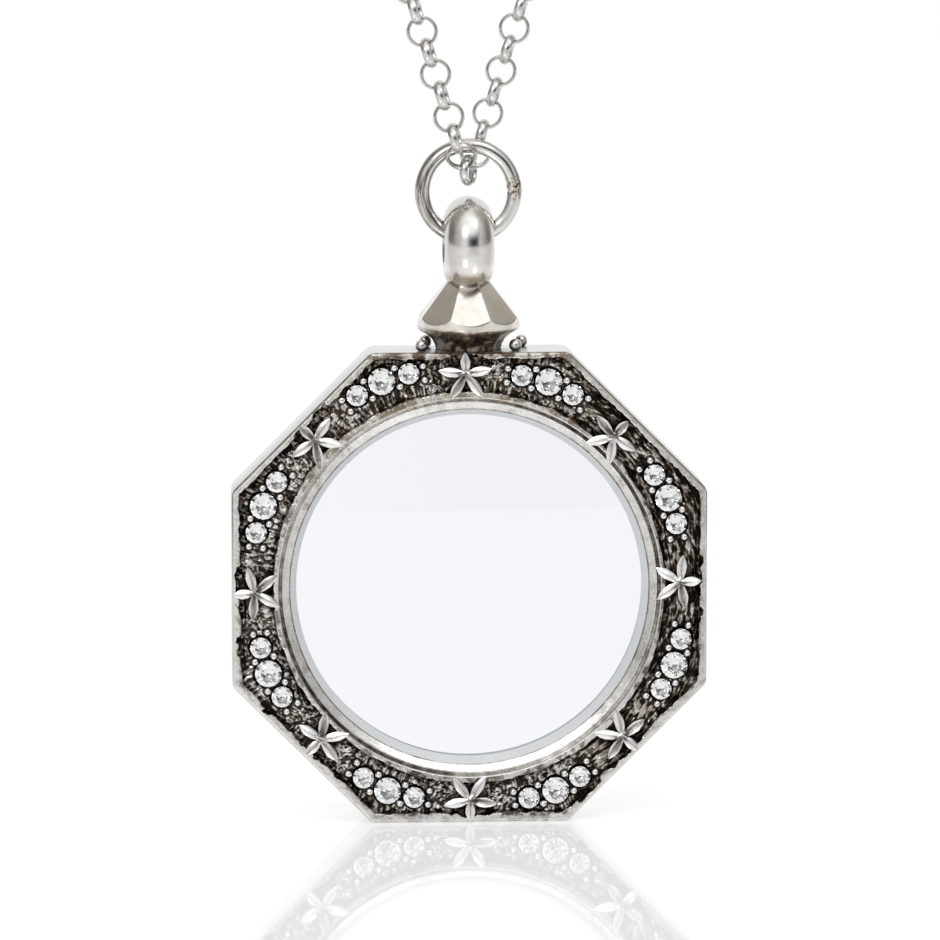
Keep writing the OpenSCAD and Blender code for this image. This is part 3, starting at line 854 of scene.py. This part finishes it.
# Round brilliants with a table, stars, kites and girdle facets, each over a bright foil cup
def brilliant(d):
    r = d / 2
    girdle = 0.08
    crown = girdle + 0.17 * d
    deep = -0.4 * d
    verts, rings = [], []

    def ring(radius, z, count, offset):
        rings.append(len(verts))
        for k in range(count):
            a = 2 * math.pi * (k + offset) / count
            verts.append((radius * math.cos(a), radius * math.sin(a), z))

    ring(0.56 * r, crown, 8, 0)
    ring(0.78 * r, girdle + 0.095 * d, 8, 0.5)
    ring(r, girdle, 16, 0)
    ring(r, 0, 16, 0)
    ring(0.5 * r, -0.215 * d, 8, 0.5)
    tip = len(verts)
    verts.append((0, 0, deep))
    table, mid, top, low, under = rings
    faces = [tuple(table + k for k in range(8))]
    for k in range(8):
        n, p = (k + 1) % 8, (k - 1) % 8
        faces.append((table + k, mid + k, table + n))
        faces.append((table + k, mid + p, top + 2 * k, mid + k))
        faces.append((mid + k, top + 2 * k, top + 2 * k + 1))
        faces.append((mid + k, top + 2 * k + 1, top + (2 * k + 2) % 16))
        faces.append((low + 2 * k, under + k, low + 2 * k + 1))
        faces.append((low + 2 * k + 1, under + k, low + (2 * k + 2) % 16))
        faces.append((low + 2 * k, under + p, tip, under + k))
    for k in range(16):
        n = (k + 1) % 16
        faces.append((top + k, low + k, low + n, top + n))
    return np.array(verts), faces


# Each stone is turned on from the last, so that their facets don't all catch the light alike
STONE_SPIN = 13
stones, foils = Parts(), Parts()
for index, (sr, deg, d) in enumerate(stone_places()):
    verts, faces = brilliant(d)
    spin = rot_z(deg + STONE_SPIN * index)
    sx, sy = polar(sr, deg)
    stones.add(to_front(verts @ spin.T + np.array([sx, sy, STONE_Z])), faces)
    cup_profile = [(0.02, -0.43 * d), (0.26 * d, -0.23 * d), (0.49 * d, -0.05)]
    cup, cup_faces = revolve(cup_profile, 24, closed=False)
    foils.add(to_front(cup @ spin.T + np.array([sx, sy, STONE_Z])), [f[::-1] for f in cup_faces])
stone_piece = stones.build("cut_stones", CRYSTAL)
foil_piece = foils.build("stone_foils", FOIL, 30)


# The lens
def lens_mesh():
    arc = math.asin(LENS_R / LENS_BALL_R)
    rows = 28
    up = []
    for i in range(1, rows + 1):
        a = arc * i / rows
        up.append((LENS_BALL_R * math.sin(a), LENS_TOP - LENS_BALL_R + LENS_BALL_R * math.cos(a)))
    profile = [(r, -z) for r, z in up] + up[::-1]
    verts, faces = turned_solid(profile, LENS_TOP, 160)
    return make_mesh("magnifying_lens", to_front(verts), faces, LENS, 40)


lens = lens_mesh()


# The cap: an octagonal pyramid with a round girdle, cut below by a turned octagon with a hollow neck
def cap_mesh():
    low_r = CAP_ACROSS / 2 + CAP_SLOPE * CAP_GIRDLE_Z
    high_r = low_r - CAP_SLOPE * CAP_H
    k8 = math.cos(22.5 * RAD)
    shapes = []
    for rows, turn, sides in (
        ([(low_r / k8, 0), (high_r / k8, CAP_H)], 22.5, 8),
        (CAP_PROFILE + [[CAP_PROFILE[-1][0], CAP_H + 1]], 0, 64),
    ):
        verts = []
        for r, z in rows:
            for k in range(sides):
                deg = turn + k * 360 / sides
                from_flat = (deg - turn) % 45 - 22.5
                out = r if sides == 8 else min(r * k8 / math.cos(from_flat * RAD), CAP_GIRDLE_R)
                verts.append((out * math.cos(deg * RAD), out * math.sin(deg * RAD), z))
        faces = grid_faces(len(rows), sides, close_cols=True)
        faces.append(tuple(range(sides))[::-1])
        faces.append(tuple(range((len(rows) - 1) * sides, len(rows) * sides)))
        verts = np.array(verts) + np.array([0, 0, FRAME_TOP_Z])
        shapes.append(make_mesh("cap_part", verts, faces, FINIAL))
    whole, cutter = shapes
    cut = whole.modifiers.new("cut", "BOOLEAN")
    cut.operation = "INTERSECT"
    cut.solver = "EXACT"
    cut.object = cutter
    soften = whole.modifiers.new("soften", "BEVEL")
    soften.width = 0.24 * MM
    soften.segments = 3
    soften.limit_method = "ANGLE"
    soften.angle_limit = 22 * RAD
    bpy.context.view_layer.update()
    made = bpy.data.meshes.new_from_object(whole.evaluated_get(bpy.context.evaluated_depsgraph_get()))
    made.polygons.foreach_set("use_smooth", np.ones(len(made.polygons), bool))
    made.set_sharp_from_angle(angle=18 * RAD)
    for obj in shapes:
        bpy.data.objects.remove(obj)
    obj = bpy.data.objects.new("cap", made)
    bpy.context.scene.collection.objects.link(obj)
    return obj


cap = cap_mesh()


# The bail: round outside, its mouths widened to follow the ring
def bail_section(count):
    """Its section, where two round outlines overlap, found by halving outwards from a point inside both."""
    round_at, mouth_at = BAIL_R - BAIL_ROUND_R, BAIL_HOLE_R + BAIL_MOUTH_R
    start = np.array([round_at + 0.35, 0.0])
    points = []
    for k in range(count):
        a = 2 * math.pi * k / count
        step = np.array([math.cos(a), math.sin(a)])
        inside, outside = 0.0, 6.0
        for _ in range(30):
            halfway = (inside + outside) / 2
            r, w = start + step * halfway
            if math.hypot(r - round_at, w) < BAIL_ROUND_R and math.hypot(r - mouth_at, w) < BAIL_MOUTH_R:
                inside = halfway
            else:
                outside = halfway
        points.append(start + step * inside)
    return points


def bail_mesh():
    rows, steps = 72, 128
    verts = []
    for r, w in bail_section(rows):
        for k in range(steps):
            a = 2 * math.pi * k / steps
            verts.append((w, r * math.cos(a), r * math.sin(a) + FRAME_TOP_Z + BAIL_Z))
    return make_mesh("bail", verts, grid_faces(rows, steps, True, True), FINIAL, 35)


bail = bail_mesh()


def torus(radius, wire, around=160, section=28):
    profile = []
    for k in range(section):
        a = 2 * math.pi * k / section
        profile.append((radius + wire / 2 * math.cos(a), wire / 2 * math.sin(a)))
    return revolve(profile, around)


# The jump ring
ring_verts, ring_faces = torus(RING_R, RING_WIRE)
ring_verts = ring_verts @ rot_x(90).T + np.array([0, 0, RING_Z])
ring = make_mesh("round_ring", ring_verts, ring_faces, RING, 60)


# The chain: every link along both strands
def link_mesh(around=40, half=5):
    arc_r = ((LINK_W / 2) ** 2 + (LINK_T / 2) ** 2) / LINK_T
    off = arc_r - LINK_T / 2
    section = []
    for side in (1, -1):
        for k in range(half):
            w = side * LINK_W / 2 * math.cos(math.pi * k / half)
            u = side * (math.sqrt(arc_r ** 2 - w ** 2) - off)
            section.append((LINK_R + u, -w))
    verts, faces = revolve(section, around)
    return verts @ rot_x(90).T, faces


def strand(s):
    if s < STRAIGHT_RUN:
        return -s * math.sin(LEAN), MEET_Z + s * math.cos(LEAN), -STRAND_LEAN
    a = (s - STRAIGHT_RUN) / TURN_R / RAD - STRAND_LEAN
    if a < 90:
        return -TOP_HALF - TURN_R * math.cos(a * RAD), TURN_Z + TURN_R * math.sin(a * RAD), a
    return s - HALF_RUN, TURN_Z + TURN_R, 90


def strand_depth(s):
    return -STRAND_Y * (HALF_RUN - s) / (HALF_RUN - FIRST_LINK_S)


# Links beside the ring's wire: x, y, z from the wire, tilt, lean, turn
LINK_UNDER_WIRE = [0, 0, -2.335, 0, 0, -112.5]
LINK_BEFORE_WIRE = [-0.704, -1.156, -0.871, 31, -6, 0]
LINK_OVER_WIRE = [-1.331, -2.088, 0.87, 6, -STRAND_LEAN, 82]


def placed(row):
    turn = rot_y(row[4]) @ rot_x(row[3]) @ rot_z(row[5])
    return turn, np.array([row[0], row[1], WIRE_Z + row[2]])


def strand_links():
    yield placed(LINK_BEFORE_WIRE)
    yield placed(LINK_OVER_WIRE)
    for i in range(LINKS_A_SIDE):
        s = FIRST_LINK_S + i * LINK_PITCH
        x, z, lean = strand(s)
        turn = rot_y(lean) @ rot_z(0 if i % 2 == 0 else 90 + MADE_TURN)
        yield turn, np.array([x, strand_depth(s), z])


link_verts, link_faces = link_mesh()
half_turn = rot_z(180)
left, right = Parts(), Parts()
turn, at = placed(LINK_UNDER_WIRE)
left.add(link_verts @ turn.T + at, link_faces)
for turn, at in strand_links():
    verts = link_verts @ turn.T + at
    left.add(verts, link_faces)
    right.add(verts @ half_turn.T, link_faces)
left_chain = left.build("links_left", CHAIN, 50)
right_chain = right.build("links_right", CHAIN, 50)


# The clasp: a turned barrel with fine grooves, and an eye at each end
def clasp_mesh():
    parts = Parts()
    h = CLASP_HALF
    profile = [(0.02, -h), (CLASP_R - 0.35, -h), (CLASP_R - 0.1, -h + 0.12), (CLASP_R, -h + 0.4)]
    for z in (-h + 1.1, 0.0, h - 1.1):
        profile += [(CLASP_R, z - 0.16), (CLASP_R - 0.12, z - 0.06)]
        profile += [(CLASP_R - 0.12, z + 0.06), (CLASP_R, z + 0.16)]
    profile += [(CLASP_R, h - 0.4), (CLASP_R - 0.1, h - 0.12), (CLASP_R - 0.35, h), (0.02, h)]
    verts, faces = revolve(profile, 64, closed=False)
    lift = np.array([0, 0, CLASP_R])
    parts.add(verts @ rot_y(90).T + lift, faces)
    eye, eye_faces = torus(CLASP_EYE_R, CLASP_EYE_WIRE, 48, 16)
    for side in (-1, 1):
        parts.add(eye @ rot_x(90).T + np.array([side * CLASP_EYE_X, 0, 0]) + lift, eye_faces)
    return parts.build("barrel_clasp", CHAIN, 30)


clasp = clasp_mesh()

# What rides on what, and the CAD parts that these pieces replace, hidden
for obj in pieces + [walls, star_piece, bead_piece, stone_piece, foil_piece, lens, cap, bail]:
    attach(obj, "pendant")
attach(ring, "ring")
for obj in (left_chain, right_chain, clasp):
    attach(obj, "chain")
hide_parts("frame")
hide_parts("lens")
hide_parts("finial")
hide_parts("jump_ring")
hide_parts("chain_left")
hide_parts("chain_right")
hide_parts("clasp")
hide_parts(*["stone_%02d" % n for n in range(1, 25)])


# Floor, light and camera
def floor_material():
    """White lit acrylic with a faint mirror."""
    mat, tree, shader, _ = new_material("white_floor")
    shader.inputs["Base Color"].default_value = (0.5, 0.5, 0.5, 1)
    shader.inputs["Specular IOR Level"].default_value = 0
    shader.inputs["Roughness"].default_value = 1
    shader.inputs["Emission Color"].default_value = (1, 1, 1, 1)
    shader.inputs["Emission Strength"].default_value = 0.68
    gloss = tree.nodes.new("ShaderNodeBsdfGlossy")
    gloss.inputs["Roughness"].default_value = 0.035
    mix = tree.nodes.new("ShaderNodeMixShader")
    mix.inputs[0].default_value = 0.35
    tree.links.new(shader.outputs["BSDF"], mix.inputs[1])
    tree.links.new(gloss.outputs["BSDF"], mix.inputs[2])
    tree.links.new(mix.outputs["Shader"], tree.nodes["Material Output"].inputs["Surface"])
    return mat


FLOOR_HALF = 6000
floor_corners = [(x * FLOOR_HALF, y * FLOOR_HALF, FLOOR_Z) for x, y in ((-1, -1), (1, -1), (1, 1), (-1, 1))]
floor = make_mesh("floor", floor_corners, [(0, 1, 2, 3)], floor_material())

# The room's light from left to right: position, level, warmth. In front low down and high up, and at the sides
FRONT_LOW = [
    (0.0, 0.45, 0), (0.10, 0.6, 0), (0.18, 0.85, 0), (0.28, 1.05, 0), (0.38, 0.8, 0), (0.46, 0.3, 0),
    (0.53, 0.12, 0), (0.58, 0.02, 0), (0.76, 0.02, 0), (0.82, 0.4, 0), (0.87, 0.8, 0), (0.93, 0.6, 0),
    (1.0, 0.45, 0),
]
FRONT_HIGH = [
    (0.0, 0.5, 0), (0.12, 0.7, 0), (0.3, 1.2, 0), (0.5, 1.45, 0), (0.7, 1.2, 0), (0.88, 0.75, 0), (1.0, 0.5, 0),
]
SIDES = [
    (0.0, 0.22, 0.1), (0.08, 0.26, 0.14), (0.15, 0.31, 0.14), (0.28, 0.38, 0.1), (0.4, 1.2, 0), (0.6, 1.2, 0),
    (0.74, 0.5, 0.1), (0.85, 0.46, 0.14), (0.94, 0.3, 0.12), (1.0, 0.24, 0.1),
]


def grey(level, warm):
    return (level, level * (1 - 0.35 * warm), level * (1 - warm))


def room_ramp(tree, across, stops):
    return ramp_node(tree, across, [(at, grey(level, warm)) for at, level, warm in stops], "EASE")


def studio_world():
    """A white backdrop behind, grey walls at the sides, and in front a dim room between softboxes."""
    world = bpy.data.worlds.new("studio")
    world.use_nodes = True
    tree = world.node_tree
    back = tree.nodes["Background"]
    coord = tree.nodes.new("ShaderNodeTexCoord")
    axes = split_node(tree, coord.outputs["Generated"])
    across = map_node(tree, axes["X"], -1, 1, 0, 1)
    low = room_ramp(tree, across, FRONT_LOW)
    high = room_ramp(tree, across, FRONT_HIGH)
    side = room_ramp(tree, across, SIDES)
    # The sides are brighter above, which lights the cap's side facets
    side = mix_colour(tree, map_node(tree, axes["Z"], 0.4, 0.64, 0, 0.35), side, grey(0.64, 0.12))
    front = mix_colour(tree, map_node(tree, axes["Z"], 0.28, 0.58, 0, 1), low, high)
    front = mix_colour(tree, map_node(tree, axes["Y"], -0.3, 0.02, 0, 1), front, side)
    behind = map_node(tree, axes["Y"], 0.42, 0.6, 0, 1)
    tree.links.new(mix_colour(tree, behind, front, (1.04, 1.04, 1.04)), back.inputs["Color"])
    back.inputs["Strength"].default_value = 1
    bpy.context.scene.world = world


def area_light(name, at, aim, size_mm, power):
    data = bpy.data.lights.new(name, "AREA")
    data.shape = "DISK"
    data.size = size_mm * MM
    data.energy = power
    obj = bpy.data.objects.new(name, data)
    obj.location = Vector(at) * MM
    obj.rotation_mode = "QUATERNION"
    obj.rotation_quaternion = (Vector(aim) - Vector(at)).to_track_quat("-Z", "Y")
    bpy.context.scene.collection.objects.link(obj)


# Camera and lamps: degrees and millimetres, and the focal length in pixels of the 940-pixel picture
PICTURE_PX = 940
FOCAL_PX = 6323.4
SENSOR_MM = 36
CAMERA_AZIMUTH = -3
CAMERA_ELEVATION = 8
CAMERA_DISTANCE = 600
CAMERA_AIM = (0.16, 0, -327.418)
LAMP_AIM = (0, 0, -327)
LAMP_SIZE = 260

studio_world()
area_light("key", (-300, -620, 160), LAMP_AIM, LAMP_SIZE, 1.3)
area_light("fill", (360, -480, 480), LAMP_AIM, LAMP_SIZE, 0.8)

cam_data = bpy.data.cameras.new("camera")
cam_data.sensor_width = SENSOR_MM
cam_data.lens = FOCAL_PX / PICTURE_PX * SENSOR_MM
cam = bpy.data.objects.new("camera", cam_data)
bpy.context.scene.collection.objects.link(cam)
azimuth, elevation = CAMERA_AZIMUTH * RAD, CAMERA_ELEVATION * RAD
level = math.cos(elevation)
away = Vector((math.sin(azimuth) * level, -math.cos(azimuth) * level, math.sin(elevation)))
cam.location = (Vector(CAMERA_AIM) + away * CAMERA_DISTANCE) * MM
cam.rotation_mode = "QUATERNION"
cam.rotation_quaternion = (-away).to_track_quat("-Z", "Y")
cam_data.clip_start = 0.01
cam_data.clip_end = 20
bpy.context.scene.camera = cam
bpy.context.scene.view_settings.view_transform = "Standard"
